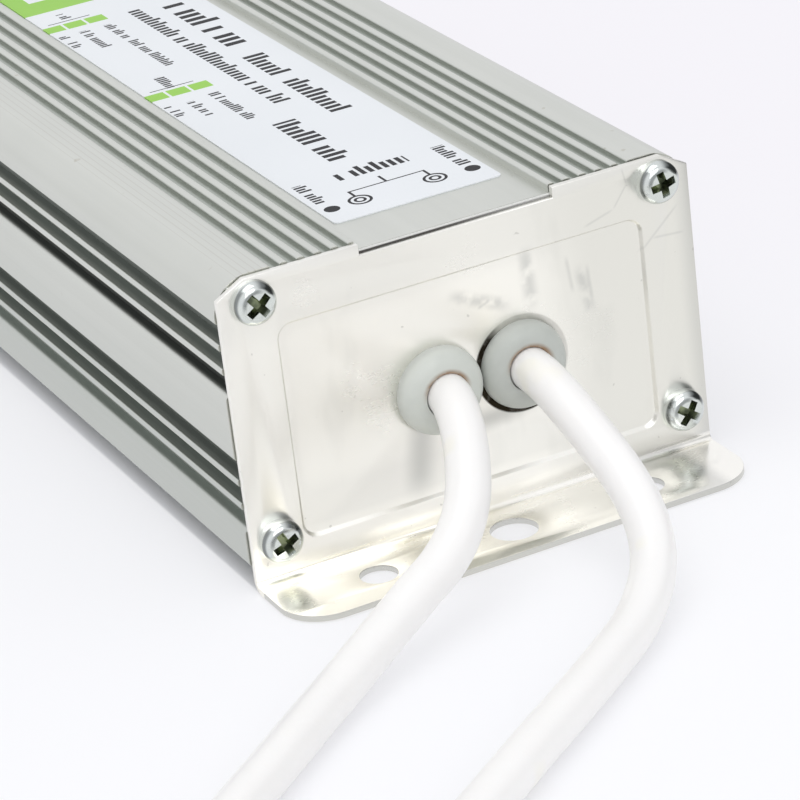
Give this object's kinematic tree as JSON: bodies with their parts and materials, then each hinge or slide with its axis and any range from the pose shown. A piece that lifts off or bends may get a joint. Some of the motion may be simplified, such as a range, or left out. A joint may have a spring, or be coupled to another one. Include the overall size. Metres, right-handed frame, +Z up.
{
  "type": "led driver",
  "caption": "Sealed LED power supply in a finned aluminium extrusion with folded, flanged end plates and white output leads through rubber grommets.",
  "frame": {"origin": "centre of the mounting surface under the driver: the middle of its bounding box, at the underside of the end flanges, leads left out", "axes": "+Z up from the mounting surface, Y along the housing with the output leads at -Y, X across it"},
  "size_m": [0.1502, 0.3927, 0.0442],
  "materials": {
    "extruded_aluminium": "satin anodised, with fine die lines along its length",
    "plated_sheet": "bright zinc-plated sheet, semi-gloss, slightly stained",
    "zinc_screw": "bright zinc",
    "gasket_rubber": "matte grey silicone",
    "grommet_rubber": "satin, slightly translucent silicone",
    "label_film": "smooth printed film",
    "board_laminate": "green solder mask",
    "resin": "cast resin",
    "black_moulding": "moulded epoxy",
    "blue_coating": "dipped epoxy",
    "yellow_wrap": "polyester film",
    "can_sleeve": "shrunk sleeve",
    "ferrite": "ground ferrite",
    "core_paint": "painted powder core",
    "copper_wire": "enamelled copper",
    "spreader_aluminium": "mill finish",
    "pad_silicone": "matte",
    "white_sheath": "smooth soft vinyl",
    "brown_insulation": "smooth vinyl",
    "blue_insulation": "smooth vinyl",
    "tinned_copper": "dipped solder"
  },
  "bodies": {
    "root": {"housing": "extruded_aluminium", "output_end_plate": "plated_sheet", "input_end_plate": "plated_sheet", "output_gasket": "gasket_rubber", "input_gasket": "gasket_rubber", "left_output_grommet": "grommet_rubber", "right_output_grommet": "grommet_rubber", "input_grommet": "grommet_rubber", "end_plate_screws": "zinc_screw", "channel_label": "label_film", "circuit_board": "board_laminate", "resin_bed": "resin", "mains_fuse": "black_moulding", "surge_varistor": "blue_coating", "safety_capacitor": "blue_coating", "line_capacitor": "yellow_wrap", "line_choke_core": "core_paint", "line_choke_windings": "copper_wire", "bridge_rectifier": "black_moulding", "bulk_capacitors": "can_sleeve", "transformer_core": "ferrite", "transformer_former": "black_moulding", "transformer_winding": "yellow_wrap", "primary_heat_spreader": "spreader_aluminium", "output_heat_spreader": "spreader_aluminium", "thermal_pads": "pad_silicone", "switching_transistors": "black_moulding", "output_rectifiers": "black_moulding", "spreader_screws": "zinc_screw", "output_choke_core": "core_paint", "output_choke_winding": "copper_wire", "output_capacitors": "can_sleeve", "control_chip": "black_moulding", "brown_inner_wires": "brown_insulation", "blue_inner_wires": "blue_insulation", "left_output_lead": "white_sheath", "right_output_lead": "white_sheath", "brown_lead_tails": "brown_insulation", "blue_lead_tails": "blue_insulation", "tinned_tips": "tinned_copper"}
  },
  "joints": []
}
